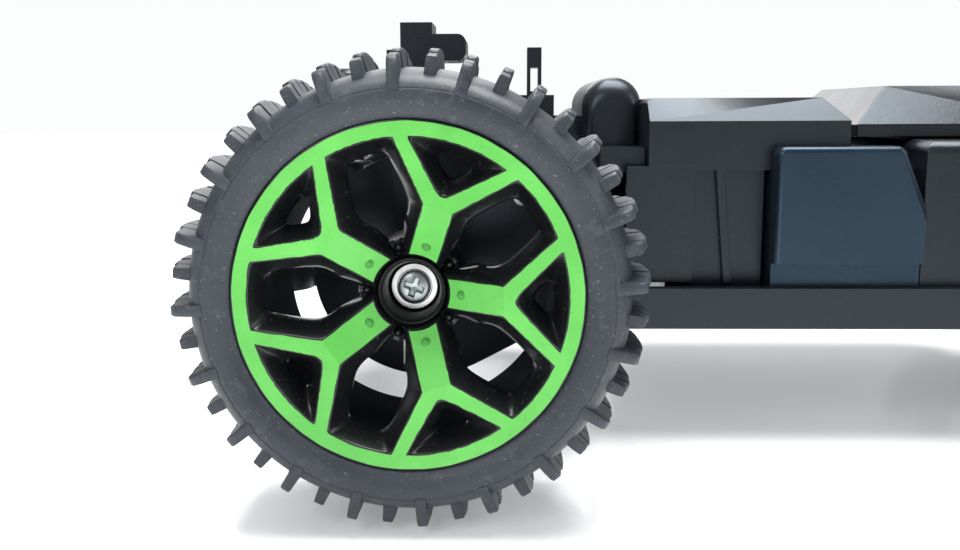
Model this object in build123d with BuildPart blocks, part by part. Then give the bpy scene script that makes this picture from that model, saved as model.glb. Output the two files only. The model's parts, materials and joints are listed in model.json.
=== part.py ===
from build123d import *
import math
import os

# Remote control car chassis, bare of its body shell, in millimetres.
# +X is the front of the car, +Z is up, and the right-hand side is -Y.
# The origin is on the ground, under the middle of the car.

# ---- Driving dimensions ---------------------------------------------------
WHEELBASE = 177.0
CAR_LENGTH = 271.0
AXLE_HEIGHT = 38.0             # also the tyre's outer radius over its tread blocks
FACE_OFFSET = 94.0             # from the car's middle plane to the painted face of a wheel
FRONT_AXLE = WHEELBASE / 2
REAR_AXLE = -WHEELBASE / 2
BUMPER_REACH = CAR_LENGTH / 2

# Wheel. Its depths are measured inwards from the painted face.
RING_RADIUS = 27.0
WINDOW_RADIUS = 24.4
BEAD_SEAT_RADIUS = 25.2
BARREL_RADIUS = 22.6
RIM_WIDTH = 25.0
FLANGE = 1.4
SPOKES = 5
SPOKE_PHASE = -1.1
STEM_HALF_WIDTH = 2.4
FORK_RADIUS = 14.65            # where a stem divides into its two arms
FORK_ANGLE = 9.5
ARM_OUTER_ANGLE = 23.8
ARM_INNER_ANGLE = 18.1
APEX_RADIUS = 15.9
APEX_FILLET = 1.6
HUB_RADIUS = 8.3
CUP_RADIUS = 5.6
CUP_RIM_DEPTH = 7.0
CUP_FLOOR_DEPTH = 13.5
HEX_DEPTH = 16.0
HUB_DEPTH = 20.5
HEX_ACROSS_FLATS = 12.0

# Tyre
TYRE_MIDDLE = 12.6             # depth of the tyre's middle plane
TYRE_BULGE = -1.0              # depth of the widest point of the side wall
SHOULDER_RADIUS = 36.2
TREAD_GROOVES = (5.4, 10.2, 15.0, 19.8)
GROOVE_WIDTH = 0.8
GROOVE_DEPTH = 2.5

# Axles and screws
AXLE_RADIUS = 2.0
RUNNING_GAP = 0.05
BUSH_RADIUS = 4.0
SCREW_RADIUS = 1.45
SCREW_HOLE_RADIUS = 1.5
PIN_RADIUS = 1.5

# Drive train, on the right of the rear axle
MODULE = 0.7
AXLE_TEETH = 48
SMALL_TEETH = 14
LARGE_TEETH = 36
PINION_TEETH = 12
SMALL_GEAR_DIRECTION = 35.0    # from the axle to the reduction gear, degrees above +X
PINION_DIRECTION = -60.0       # from the reduction gear to the pinion
CASE_WALL = 1.6
CASE_RADIUS = 21.0
COVER_FACE = -58.0
CASE_JOINT = -49.0
CASE_BACK = -40.0
MOTOR_RADIUS = 11.0
MOTOR_LENGTH = 30.0

# Rear swing unit
HINGE = (-46.0, 37.0)          # x and z of its hinge
PLATE_BOTTOM = 23.0
PLATE_TOP = 26.0

# Shock absorbers, from the upper eye to the lower eye
SHOCK_DROP = 40.0
SHOCK_SPREAD = 12.0
SHOCK_PLANE = 107.0            # distance of all four from the middle of the car
SHOCK_TOP_Z = 72.0
PLATE_CLEARANCE = 6.0          # from a tower plate to the plane of its shocks
LUG_CLEARANCE = 3.0            # from a lower lug to the plane of its shocks
PEG_REACH = 3.0                # of a shock peg, beyond that plane
REAR_SHOCK_TOP_Y = 22.0
FRONT_SHOCK_TOP_Y = 34.0
EYE_THICKNESS = 4.0
NECK_RADIUS = 1.7
SPRING_RADIUS = 4.4
SPRING_WIRE = 0.6
SPRING_TURNS = 6

# Chassis tub
TUB_BOTTOM = 23.2
FLOOR_THICKNESS = 2.2
RAIL_TOP = 31.3
RAIL_WIDTH = 3.0
TUB_HALF_WIDTH = 46.0
NOSE_HALF_WIDTH = 24.0
TUB_REAR = -52.0
TUB_NOTCH = -40.0
NOTCH_HALF_WIDTH = 36.0
TUB_SHOULDER = 46.0
NOSE_START = 58.0
NOSE_END = 108.0

# Steering
KINGPIN_Y = 60.0
ARM_PIVOT_Y = 22.0
ARM_PIVOT_Z = 30.0
STEERING_REACH = 15.0          # from a kingpin, or the servo shaft, to its ball pin
BAR_BOTTOM = 36.0
BAR_TOP = 39.0

TURN = {"X": (0, 90, 0), "Y": (90, 0, 0), "Z": (0, 0, 0)}

os.makedirs("parts", exist_ok=True)


# ---- Helpers --------------------------------------------------------------
def save(piece, name):
    """Label a finished piece and write it as its own STEP file."""
    piece.part.label = name
    export_step(piece.part, f"parts/{name}.step")


def save_mirrored(piece, name):
    """Write the mirror image of a right-hand piece, for the left-hand side."""
    with BuildPart() as copy:
        add(mirror(piece.part, about=Plane.XZ, mode=Mode.PRIVATE))
    save(copy, name)


def save_pair(piece, name):
    """Write a right-hand piece and its left-hand mirror image."""
    save_mirrored(piece, name + "_left")
    save(piece, name + "_right")


def block(x_span, y_span, z_span, mode=Mode.ADD):
    """A rectangular block between two limits along each axis."""
    spans = (x_span, y_span, z_span)
    centre = tuple(sum(span) / 2 for span in spans)
    with Locations(centre):
        return Box(*(span[1] - span[0] for span in spans), mode=mode)


def rod(axis, centre, radius, length, mode=Mode.ADD):
    """A round bar along one axis, about its centre."""
    with Locations(Location(centre, TURN[axis])):
        return Cylinder(radius, length, mode=mode)


def peg(x_from, x_to, y, z):
    """A round peg along the car that carries the eye of a shock."""
    return rod("X", ((x_from + x_to) / 2, y, z), PIN_RADIUS, abs(x_to - x_from))


def rod_y(x, z, radius, y_span, mode=Mode.ADD):
    """A round bar across the car between two limits."""
    return rod("Y", (x, sum(y_span) / 2, z), radius, y_span[1] - y_span[0], mode)


def side_plane(y):
    """A plane across the car at y, seen from the right: local x is +X and local y is +Z."""
    return Plane((0, y, 0), x_dir=(1, 0, 0), z_dir=(0, -1, 0))


def polar(radius, degrees):
    """The point at a radius and an angle."""
    return (radius * math.cos(math.radians(degrees)), radius * math.sin(math.radians(degrees)))


def shifted(point, distance, degrees):
    """The point at a distance and an angle from another."""
    return tuple(base + step for base, step in zip(point, polar(distance, degrees)))


# ---- Wheels: built about the origin, depth along +Y -----------------------
def wheel_rim():
    """The five-spoke rim: a dished disc with windows, a barrel and a hub with a hexagon pocket."""
    with BuildPart() as rim:
        with BuildSketch(Plane.XY):
            Polygon((4.0, 12.0), (6.0, 6.0), (FORK_RADIUS, 0), (WINDOW_RADIUS + 0.4, 0),
                    (WINDOW_RADIUS + 0.4, 4.0), (FORK_RADIUS, 5.0), (8.0, 12.0), align=None)
        revolve(axis=Axis.Y)
        for spoke in range(SPOKES):
            along = SPOKE_PHASE + spoke * 360 / SPOKES
            with BuildSketch(side_plane(-1)):
                with BuildLine():
                    ThreePointArc(*(polar(WINDOW_RADIUS, along + turn)
                                    for turn in (ARM_INNER_ANGLE, 0, -ARM_INNER_ANGLE)))
                    Line(polar(WINDOW_RADIUS, along - ARM_INNER_ANGLE), polar(APEX_RADIUS, along))
                    Line(polar(APEX_RADIUS, along), polar(WINDOW_RADIUS, along + ARM_INNER_ANGLE))
                fork = make_face()
                fillet(fork.vertices().sort_by_distance((0, 0, 0))[0], APEX_FILLET)
            middle = along + 180 / SPOKES
            outer = 180 / SPOKES - ARM_OUTER_ANGLE
            side = 180 / SPOKES - FORK_ANGLE
            inner = 180 / SPOKES - math.degrees(math.asin(STEM_HALF_WIDTH / HUB_RADIUS))
            with BuildSketch(side_plane(-1)):
                with BuildLine():
                    ThreePointArc(*(polar(WINDOW_RADIUS, middle + turn) for turn in (outer, 0, -outer)))
                    Polyline(polar(WINDOW_RADIUS, middle - outer), polar(FORK_RADIUS, middle - side),
                             polar(HUB_RADIUS, middle - inner))
                    ThreePointArc(*(polar(HUB_RADIUS, middle + turn) for turn in (-inner, 0, inner)))
                    Polyline(polar(HUB_RADIUS, middle + inner), polar(FORK_RADIUS, middle + side),
                             polar(WINDOW_RADIUS, middle + outer))
                make_face()
        extrude(amount=-(HUB_DEPTH + 1), mode=Mode.SUBTRACT)
        with BuildSketch(Plane.XY):
            Polygon((WINDOW_RADIUS, 0), (RING_RADIUS, 0), (RING_RADIUS, FLANGE), (BEAD_SEAT_RADIUS, FLANGE),
                    (BEAD_SEAT_RADIUS, RIM_WIDTH - FLANGE), (RING_RADIUS - 0.4, RIM_WIDTH - FLANGE),
                    (RING_RADIUS - 0.4, RIM_WIDTH), (BARREL_RADIUS, RIM_WIDTH), (BARREL_RADIUS - 0.4, 3.0),
                    align=None)
        revolve(axis=Axis.Y)
        with BuildSketch(Plane.XY):
            Polygon((SCREW_RADIUS + 0.15, CUP_FLOOR_DEPTH), (4.6, CUP_FLOOR_DEPTH), (4.6, CUP_RIM_DEPTH),
                    (CUP_RADIUS, CUP_RIM_DEPTH), (CUP_RADIUS, 8.2), (HUB_RADIUS + 0.3, 9.0),
                    (HUB_RADIUS + 0.3, HUB_DEPTH), (SCREW_RADIUS + 0.15, HUB_DEPTH), align=None)
        revolve(axis=Axis.Y)
        with BuildSketch(side_plane(HUB_DEPTH)):
            RegularPolygon(HEX_ACROSS_FLATS / 2, 6, major_radius=False)
        extrude(amount=HUB_DEPTH - HEX_DEPTH, mode=Mode.SUBTRACT)
    return rim


def tyre():
    """A hollow rubber tyre: rounded side walls and a crowned tread cut by four grooves around it."""
    width = 2 * TYRE_MIDDLE
    with BuildPart() as rubber:
        with BuildSketch(Plane.XY):
            with BuildLine():
                Polyline((BEAD_SEAT_RADIUS, FLANGE + 4), (BEAD_SEAT_RADIUS, FLANGE), (RING_RADIUS, FLANGE),
                         (RING_RADIUS, 0.3))
                ThreePointArc((RING_RADIUS, 0.3), (29.8, TYRE_BULGE), (33.2, 0.2))
                Line((33.2, 0.2), (SHOULDER_RADIUS, 1.2))
                ThreePointArc((SHOULDER_RADIUS, 1.2), (AXLE_HEIGHT, TYRE_MIDDLE),
                              (SHOULDER_RADIUS, width - 1.2))
                Line((SHOULDER_RADIUS, width - 1.2), (33.2, width - 0.2))
                ThreePointArc((33.2, width - 0.2), (29.8, width - TYRE_BULGE), (RING_RADIUS, width - 0.3))
                Polyline((RING_RADIUS, width - 0.3), (RING_RADIUS, RIM_WIDTH - FLANGE),
                         (BEAD_SEAT_RADIUS, RIM_WIDTH - FLANGE), (BEAD_SEAT_RADIUS, RIM_WIDTH - FLANGE - 4))
                Line((BEAD_SEAT_RADIUS, RIM_WIDTH - FLANGE - 4), (31.2, width - 2.4))
                ThreePointArc((31.2, width - 2.4), (32.8, TYRE_MIDDLE), (31.2, 2.4))
                Line((31.2, 2.4), (BEAD_SEAT_RADIUS, FLANGE + 4))
            make_face()
            for groove in TREAD_GROOVES:
                with Locations((AXLE_HEIGHT, groove)):
                    Rectangle(2 * GROOVE_DEPTH, GROOVE_WIDTH, mode=Mode.SUBTRACT)
        revolve(axis=Axis.Y)
    return rubber


def wheel_screw(slack):
    """The wheel's screw and washer, held off the hub by a small slack where the wheel turns on it."""
    washer_depth = CUP_FLOOR_DEPTH - slack
    with BuildPart() as screw:
        rod_y(0, 0, 3.75, (washer_depth - 0.6, washer_depth))
        rod_y(0, 0, SCREW_RADIUS + 0.1, (washer_depth - 0.7, washer_depth + 0.1), mode=Mode.SUBTRACT)
        rod_y(0, 0, 2.6, (washer_depth - 2.6, washer_depth - 0.6))
        rod_y(0, 0, SCREW_RADIUS, (washer_depth - 2.6, 24))
        with BuildSketch(side_plane(washer_depth - 2.6)):
            with PolarLocations(0, 2, angular_range=180):
                Rectangle(0.8, 3.0)
        extrude(amount=-1.0, mode=Mode.SUBTRACT)
    return screw


def make_wheels():
    """Four wheels with their tyres and screws."""
    rim = wheel_rim()
    rubber = tyre()
    for end, axle in (("rear", REAR_AXLE), ("front", FRONT_AXLE)):
        screw = wheel_screw(0.0 if end == "rear" else 0.15)
        place = Location((axle, -FACE_OFFSET, AXLE_HEIGHT))
        for piece, name in ((rim, "wheel_rim"), (rubber, "tyre"), (screw, "wheel_screw")):
            with BuildPart() as right:
                add(piece.part.moved(place))
            save_pair(right, f"{name}_{end}")


# ---- Rear axle and drive train --------------------------------------------
AXLE_POINT = (REAR_AXLE, AXLE_HEIGHT)
REDUCTION_POINT = shifted(AXLE_POINT, MODULE * (AXLE_TEETH + SMALL_TEETH) / 2, SMALL_GEAR_DIRECTION)
PINION_POINT = shifted(REDUCTION_POINT, MODULE * (LARGE_TEETH + PINION_TEETH) / 2, PINION_DIRECTION)


def gear_outline(teeth, first_tooth):
    """The corner points of a spur gear with straight-sided teeth, one tooth at the given angle."""
    pitch = 360 / teeth
    root = MODULE * (teeth / 2 - 1.2)
    tip = MODULE * (teeth / 2 + 0.9)
    points = []
    for tooth in range(teeth):
        middle = first_tooth + tooth * pitch
        for radius, turn in ((root, -0.30), (tip, -0.11), (tip, 0.11), (root, 0.30)):
            points.append(polar(radius, middle + turn * pitch))
    return points


def gear_wheel(teeth, first_tooth, centre, y_span, bore):
    """One spur gear across the car, between two limits."""
    with BuildPart() as gear:
        with BuildSketch(Plane((centre[0], y_span[1], centre[1]), x_dir=(1, 0, 0), z_dir=(0, -1, 0))):
            Polygon(*gear_outline(teeth, first_tooth), align=None)
            Circle(bore, mode=Mode.SUBTRACT)
        extrude(amount=y_span[1] - y_span[0])
    return gear


def make_drive_train():
    """Axle shaft, gears, motor and the two-part gear housing."""
    shaft_end = FACE_OFFSET - HEX_DEPTH
    with BuildPart() as shaft:
        rod_y(*AXLE_POINT, AXLE_RADIUS, (-shaft_end, shaft_end))
        for side in (-1, 1):
            hole = sorted((side * (shaft_end - 9), side * shaft_end))
            rod_y(*AXLE_POINT, SCREW_HOLE_RADIUS, hole, mode=Mode.SUBTRACT)
    save(shaft, "rear_axle_shaft")

    with BuildPart() as hexes:
        for side in (-1, 1):
            inner, outer = side * (shaft_end - 5), side * shaft_end
            with BuildSketch(Plane((REAR_AXLE, inner, AXLE_HEIGHT), x_dir=(1, 0, 0), z_dir=(0, side, 0))):
                RegularPolygon(HEX_ACROSS_FLATS / 2, 6, major_radius=False)
                Circle(AXLE_RADIUS, mode=Mode.SUBTRACT)
            extrude(amount=abs(outer - inner))
    save(hexes, "wheel_hexes")

    axle_gear = gear_wheel(AXLE_TEETH, SMALL_GEAR_DIRECTION, AXLE_POINT, (-56.0, -51.6), AXLE_RADIUS)
    save(axle_gear, "axle_gear")

    facing = SMALL_GEAR_DIRECTION + 180
    small = gear_wheel(SMALL_TEETH, facing + 180 / SMALL_TEETH, REDUCTION_POINT, (-56.0, -50.6),
                       PIN_RADIUS + RUNNING_GAP)
    large = gear_wheel(LARGE_TEETH, PINION_DIRECTION, REDUCTION_POINT, (-50.6, -46.0),
                       PIN_RADIUS + RUNNING_GAP)
    with BuildPart() as reduction:
        add(small.part)
        add(large.part)
    save(reduction, "reduction_gear")

    with BuildPart() as pin:
        rod_y(*REDUCTION_POINT, PIN_RADIUS, (COVER_FACE, CASE_BACK))
    save(pin, "reduction_shaft")

    motor_back = CASE_BACK + MOTOR_LENGTH
    toothed = gear_wheel(PINION_TEETH, PINION_DIRECTION + 180 + 180 / PINION_TEETH, PINION_POINT,
                         (-50.4, -46.0), 0.8)
    with BuildPart() as pinion:
        add(toothed.part)
        rod_y(*PINION_POINT, 1.0, (-50.4, motor_back - 2))
    save(pinion, "motor_pinion")

    with BuildPart() as motor:
        rod_y(*PINION_POINT, MOTOR_RADIUS, (CASE_BACK, motor_back - 6))
        rod_y(*PINION_POINT, MOTOR_RADIUS - 1.4, (motor_back - 6, motor_back))
        rod_y(*PINION_POINT, 3.0, (CASE_BACK - 2, CASE_BACK))
        rod_y(*PINION_POINT, 1.0 + RUNNING_GAP, (CASE_BACK - 3, motor_back - 1.5), mode=Mode.SUBTRACT)
    save(motor, "motor")

    housing = ((AXLE_POINT, CASE_RADIUS), (REDUCTION_POINT, 15.0), (PINION_POINT, 7.0))
    with BuildPart() as cover:
        for plane_y, depth, wall, mode in ((CASE_JOINT, CASE_JOINT - COVER_FACE, 0.0, Mode.ADD),
                                           (CASE_JOINT, CASE_JOINT - COVER_FACE - CASE_WALL, CASE_WALL,
                                            Mode.SUBTRACT)):
            with BuildSketch(side_plane(plane_y)):
                for centre, radius in housing:
                    with Locations(centre):
                        Circle(radius - wall)
                make_hull()
            extrude(amount=depth, mode=mode)
        rod_y(*AXLE_POINT, 7.0, (COVER_FACE - 4, COVER_FACE + CASE_WALL))
        rod_y(*AXLE_POINT, BUSH_RADIUS, (COVER_FACE - 4, COVER_FACE + CASE_WALL), mode=Mode.SUBTRACT)
        rod_y(*REDUCTION_POINT, PIN_RADIUS, (COVER_FACE, COVER_FACE + CASE_WALL), mode=Mode.SUBTRACT)
    save(cover, "gearbox_cover")

    floor = 2.0
    with BuildPart() as case:
        for plane_y, depth, wall, mode in ((CASE_BACK, CASE_BACK - CASE_JOINT, 0.0, Mode.ADD),
                                           (CASE_BACK - floor, CASE_BACK - floor - CASE_JOINT, CASE_WALL,
                                            Mode.SUBTRACT)):
            with BuildSketch(side_plane(plane_y)):
                for centre, radius in housing:
                    with Locations(centre):
                        Circle(radius - wall)
                make_hull()
            extrude(amount=depth, mode=mode)
        rod_y(*AXLE_POINT, AXLE_RADIUS + 1, (CASE_BACK - floor, CASE_BACK), mode=Mode.SUBTRACT)
        rod_y(*REDUCTION_POINT, PIN_RADIUS, (CASE_BACK - floor, CASE_BACK), mode=Mode.SUBTRACT)
        rod_y(*PINION_POINT, 3.0, (CASE_BACK - floor, CASE_BACK), mode=Mode.SUBTRACT)
    save(case, "gearbox_case")

    with BuildPart() as bushes:
        for y_span in ((COVER_FACE - 4, COVER_FACE + CASE_WALL), (44.0, 50.0)):
            rod_y(*AXLE_POINT, BUSH_RADIUS, y_span)
            rod_y(*AXLE_POINT, AXLE_RADIUS + RUNNING_GAP, y_span, mode=Mode.SUBTRACT)
    save(bushes, "axle_bushes")


def make_swing_unit():
    """The cradle that carries the gearbox, motor and rear axle, and swings on the rear hinge."""
    shock_foot_y = REAR_SHOCK_TOP_Y + SHOCK_SPREAD
    shock_foot_z = SHOCK_TOP_Z - SHOCK_DROP
    with BuildPart() as cradle:
        block((-106, -64), (-36, 36), (PLATE_BOTTOM, PLATE_TOP))
        block((-97, -80), (36, 50), (PLATE_BOTTOM, PLATE_TOP))
        block((-96, -81), (44, 50), (PLATE_BOTTOM, AXLE_HEIGHT))
        rod_y(*AXLE_POINT, 7.5, (44, 50))
        rod_y(*AXLE_POINT, BUSH_RADIUS, (44, 50), mode=Mode.SUBTRACT)
        block((-98, -73), (CASE_BACK, CASE_BACK + 4), (PLATE_BOTTOM, 46))
        rod_y(*AXLE_POINT, AXLE_RADIUS + 1.5, (CASE_BACK, CASE_BACK + 4), mode=Mode.SUBTRACT)
        rod_y(*PINION_POINT, MOTOR_RADIUS + 2, (-33, -26))
        block((-64, -60), (26, 33), (PLATE_BOTTOM, PLATE_TOP + 4))
        with BuildSketch(side_plane(33)):
            with Locations(HINGE):
                Circle(4)
            with Locations((-66, PLATE_TOP + 1)):
                Circle(4)
            make_hull()
        extrude(amount=7)
        with BuildSketch(side_plane(-26)):
            with Locations(HINGE):
                Circle(4)
            with Locations(PINION_POINT):
                Circle(4)
            make_hull()
        extrude(amount=7)
        rod_y(*PINION_POINT, MOTOR_RADIUS, (CASE_BACK, 0), mode=Mode.SUBTRACT)
        for y_span in ((-33, -26), (26, 33)):
            rod_y(*HINGE, PIN_RADIUS + RUNNING_GAP, y_span, mode=Mode.SUBTRACT)
        for side in (-1, 1):
            foot = side * shock_foot_y
            block((-SHOCK_PLANE + LUG_CLEARANCE, -99), (foot - 5, foot + 5), (PLATE_BOTTOM, shock_foot_z + 4))
            peg(-SHOCK_PLANE - PEG_REACH, -100, foot, shock_foot_z)
        block((-92, -74), (-14, 24), (PLATE_BOTTOM, PLATE_TOP), mode=Mode.SUBTRACT)
    save(cradle, "swing_cradle")

    with BuildPart() as bumper:
        block((-120, -98), (-12, 12), (PLATE_TOP, 31))
        with BuildSketch(Plane.XY.offset(28)):
            with Locations(((-BUMPER_REACH - 116) / 2, 0)):
                RectangleRounded(BUMPER_REACH - 116, 64, 8)
        extrude(amount=8)
        fillet(bumper.faces().sort_by(Axis.Z)[-1].edges(), 1.5)
    save(bumper, "rear_bumper")

    with BuildPart() as pins:
        rod_y(*HINGE, PIN_RADIUS, (-37.5, 37.5))
        for side in (-1, 1):
            rod("X", (FRONT_AXLE, side * ARM_PIVOT_Y, ARM_PIVOT_Z), PIN_RADIUS, 27)
    save(pins, "hinge_pins")


# ---- Chassis ---------------------------------------------------------------
def tub_outline(inset):
    """The corner points of the tub seen from above, moved in by an inset."""
    right = [(TUB_REAR + inset, -TUB_HALF_WIDTH + inset), (TUB_SHOULDER, -TUB_HALF_WIDTH + inset),
             (NOSE_START, -NOSE_HALF_WIDTH + inset), (NOSE_END - inset, -NOSE_HALF_WIDTH + inset)]
    left = [(x, -y) for x, y in reversed(right)]
    notch = [(TUB_REAR + inset, NOTCH_HALF_WIDTH + inset), (TUB_NOTCH + inset, NOTCH_HALF_WIDTH + inset),
             (TUB_NOTCH + inset, -NOTCH_HALF_WIDTH - inset), (TUB_REAR + inset, -NOTCH_HALF_WIDTH - inset)]
    return right + left + notch


SCREW_PLACES = ((-34.5, -30), (-34.5, 30), (30, -36), (30, 36), (66, -10), (66, 10))


def make_tub():
    """The floor tray with its low side rails, and the screws that go in from below."""
    with BuildPart() as tub:
        with BuildSketch(Plane.XY.offset(TUB_BOTTOM)):
            Polygon(*tub_outline(0), align=None)
        extrude(amount=RAIL_TOP - TUB_BOTTOM)
        fillet(tub.edges().filter_by(Axis.Z).group_by(Axis.X)[-1], 4)
        with BuildSketch(Plane.XY.offset(TUB_BOTTOM + FLOOR_THICKNESS)):
            Polygon(*tub_outline(RAIL_WIDTH), align=None)
        extrude(amount=RAIL_TOP, mode=Mode.SUBTRACT)
        floor = TUB_BOTTOM + FLOOR_THICKNESS
        block((70, NOSE_END + 1), (-50, 50), (floor, RAIL_TOP + 1), mode=Mode.SUBTRACT)
        block((TUB_REAR - 1, -36.8), (-39.1, 39.1), (floor, RAIL_TOP + 1), mode=Mode.SUBTRACT)
        for x, y in SCREW_PLACES:
            rod("Z", (x, y, TUB_BOTTOM), SCREW_HOLE_RADIUS, 10, mode=Mode.SUBTRACT)
            rod("Z", (x, y, TUB_BOTTOM), 2.6, 2.4, mode=Mode.SUBTRACT)
    save(tub, "chassis_tub")

    with BuildPart() as screws:
        for x, y in SCREW_PLACES:
            rod("Z", (x, y, TUB_BOTTOM + 0.7), 2.5, 1.0)
            rod("Z", (x, y, TUB_BOTTOM + 2.7), 1.4, 3.2)
    save(screws, "chassis_screws")


def make_rear_bulkhead():
    """The round-topped block over the rear hinge, its hinge ears and the shelf on each side."""
    with BuildPart() as bulkhead:
        block((-57, -44.2), (-22, 22), (50, 73.2))
        fillet(bulkhead.edges().filter_by(Axis.Y).group_by(Axis.Z)[-1], 6)
        fillet(bulkhead.faces().sort_by(Axis.Y)[0].edges().group_by(Axis.Z)[-1], 1.5)
        block((-53.8, -45.4), (-36, 36), (53.6, 58.6))
        block((-46, -40.5), (-22, 22), (50, 53.6))
        block((-41, -37), (-NOTCH_HALF_WIDTH - 1, NOTCH_HALF_WIDTH + 1), (TUB_BOTTOM + FLOOR_THICKNESS, 53.6))
        block((-38, -31), (-NOTCH_HALF_WIDTH, NOTCH_HALF_WIDTH), (TUB_BOTTOM + FLOOR_THICKNESS, 28))
        for y_span in ((-37, -33.8), (-25.2, -21.5), (21.5, 25.2), (33.8, 37)):
            rod_y(*HINGE, 4, y_span)
            block((HINGE[0], -40.8), y_span, (HINGE[1] - 4, HINGE[1] + 4))
            rod_y(*HINGE, PIN_RADIUS, y_span, mode=Mode.SUBTRACT)
        for x, y in SCREW_PLACES[:2]:
            rod("Z", (x, y, 27), 1.4, 6.0, mode=Mode.SUBTRACT)
    save(bulkhead, "rear_bulkhead")

    plate_back = -SHOCK_PLANE + PLATE_CLEARANCE
    with BuildPart() as tower:
        block((plate_back, -57), (-9, 9), (58, 65))
        with BuildSketch(Plane.YZ.offset(plate_back)):
            Polygon((-9, 58), (9, 58), (27, 66), (27, 74), (22, 74.6), (-22, 74.6), (-27, 74), (-27, 66), align=None)
        extrude(amount=4)
        block((-97.8, -90.5), (-7, 7), (64, 86.1))
        block((plate_back, -95), (-7, 7), (64, 80))
        with BuildSketch(side_plane(7)):
            with Locations((-87, 80.5)):
                RectangleRounded(8.4, 6, 2)
            with Locations((-90, 80.5)):
                Rectangle(4, 6)
        extrude(amount=14)
        block((-71, -62.5), (-4, 4), (64, 69.7))
        for side in (-1, 1):
            peg(-SHOCK_PLANE - PEG_REACH, plate_back + 1, side * REAR_SHOCK_TOP_Y, SHOCK_TOP_Z)
        block((-68.7, -65.4), (-3, 3), (69, 80.6))
        block((-67.95, -66.15), (-4, 4), (70.6, 76), mode=Mode.SUBTRACT)
    save(tower, "rear_tower")


def make_covers():
    """The bevelled electronics cover, the battery box and the front cover, with what they hold."""
    wall = 1.8
    with BuildPart() as cover:
        block((-45.2, -5.5), (-40, 40), (54.2, 68.5))
        top_edges = cover.faces().sort_by(Axis.Z)[-1].edges()
        chamfer(top_edges.sort_by(Axis.X)[1:], 4.6)
        chamfer(cover.faces().sort_by(Axis.X)[0].edges().group_by(Axis.Z)[-1], 1.0)
        block((-45.2 + wall, -5.5 - wall), (-40 + wall, 40 - wall), (54.2, 64), mode=Mode.SUBTRACT)
        block((-46, -43.9), (-22.3, 22.3), (54, 70), mode=Mode.SUBTRACT)
        block((-43.9, -42.1), (-22.3, 22.3), (54.2, 64))
        for side in (-1, 1):
            skirt = sorted((side * 36.4, side * 38.4))
            block((-36.6, -21.8), skirt, (TUB_BOTTOM + FLOOR_THICKNESS, 55.4))
            block((-49.5, -36.0), sorted((side * 38.3, side * 40.1)), (RAIL_TOP + 0.3, 55.0))
        with BuildSketch(side_plane(39.8)):
            Polygon((-29.6, RAIL_TOP), (-28.0, RAIL_TOP), (-30.2, 55), (-31.8, 55), align=None)
        extrude(amount=1.8)
        with BuildSketch(side_plane(-38.0)):
            Polygon((-29.6, RAIL_TOP), (-28.0, RAIL_TOP), (-30.2, 55), (-31.8, 55), align=None)
        extrude(amount=1.8)
    save(cover, "electronics_cover")

    with BuildPart() as box:
        with BuildSketch(side_plane(45)):
            Polygon((-21, 25.4), (8.3, 25.4), (8.3, 47.5), (3.6, 59), (-21, 59), align=None)
        extrude(amount=90)
        fillet(box.edges().filter_by(Axis.Y).group_by(Axis.Z)[-1], 2.0)
        fillet(box.faces().sort_by(Axis.Y)[0].edges().filter_by(GeomType.LINE).group_by(Axis.Z)[-1], 1.2)
        block((-22, 9), (-40.3, 40.3), (53.8, 60), mode=Mode.SUBTRACT)
        block((-19.2, 6.5), (-39.2, 39.2), (27.2, 52), mode=Mode.SUBTRACT)
        for side in (-1, 1):
            block((-22, 9), sorted((side * 43, side * 46)), (25, 36), mode=Mode.SUBTRACT)
    save(box, "battery_box")

    with BuildPart() as battery:
        for row in (-12.4, -0.2):
            for layer in (33.5, 45.5):
                rod_y(row, layer - 0.2, 5.9, (-33, 33))
        block((-12.4, -0.2), (-33, 33), (30, 48.8))
    save(battery, "battery_pack")

    with BuildPart() as board:
        block((-37, -10), (-32, 32), (56, 57.6))
        block((-32, -22), (-8, 8), (57.6, 60.4))
        block((-18, -14), (10, 22), (57.6, 61.4))
    save(board, "circuit_board")

    with BuildPart() as front:
        block((8.6, 52), (-42.6, 42.6), (TUB_BOTTOM + FLOOR_THICKNESS, 60))
        chamfer(front.edges().filter_by(Axis.Z).group_by(Axis.X)[-1], 12)
        fillet(front.faces().sort_by(Axis.Z)[-1].edges(), 2.5)
        block((-1, 42), (-30, 30), (60.4, 71))
        block((8.6, 40), (-28, 28), (59.8, 61))
        chamfer(front.faces().sort_by(Axis.Z)[-1].edges(), 8.0)
        block((10.6, 37), (-40.6, 40.6), (TUB_BOTTOM + FLOOR_THICKNESS, 58), mode=Mode.SUBTRACT)
        block((37, 50), (-29, 29), (TUB_BOTTOM + FLOOR_THICKNESS, 58), mode=Mode.SUBTRACT)
        for x, y in SCREW_PLACES[2:4]:
            block((x - 2, x + 2), sorted((y, 1.13 * y)), (TUB_BOTTOM + FLOOR_THICKNESS, 31.4))
            rod("Z", (x, y, 28.4), 3.2, 6.0)
            rod("Z", (x, y, 28.4), 1.4, 6.0, mode=Mode.SUBTRACT)
        block((10.6, 38), (-24, 24), (57, 66), mode=Mode.SUBTRACT)
        block((44.4, 47.6), (-4, 4), (57, 61), mode=Mode.SUBTRACT)
    save(front, "front_cover")

    with BuildPart() as switch:
        block((43.5, 48.5), (-4.5, 1.5), (55.9, 57.9))
        block((44.8, 47.2), (-3.6, -1.2), (57.9, 61.6))
    save(switch, "power_switch")


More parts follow.
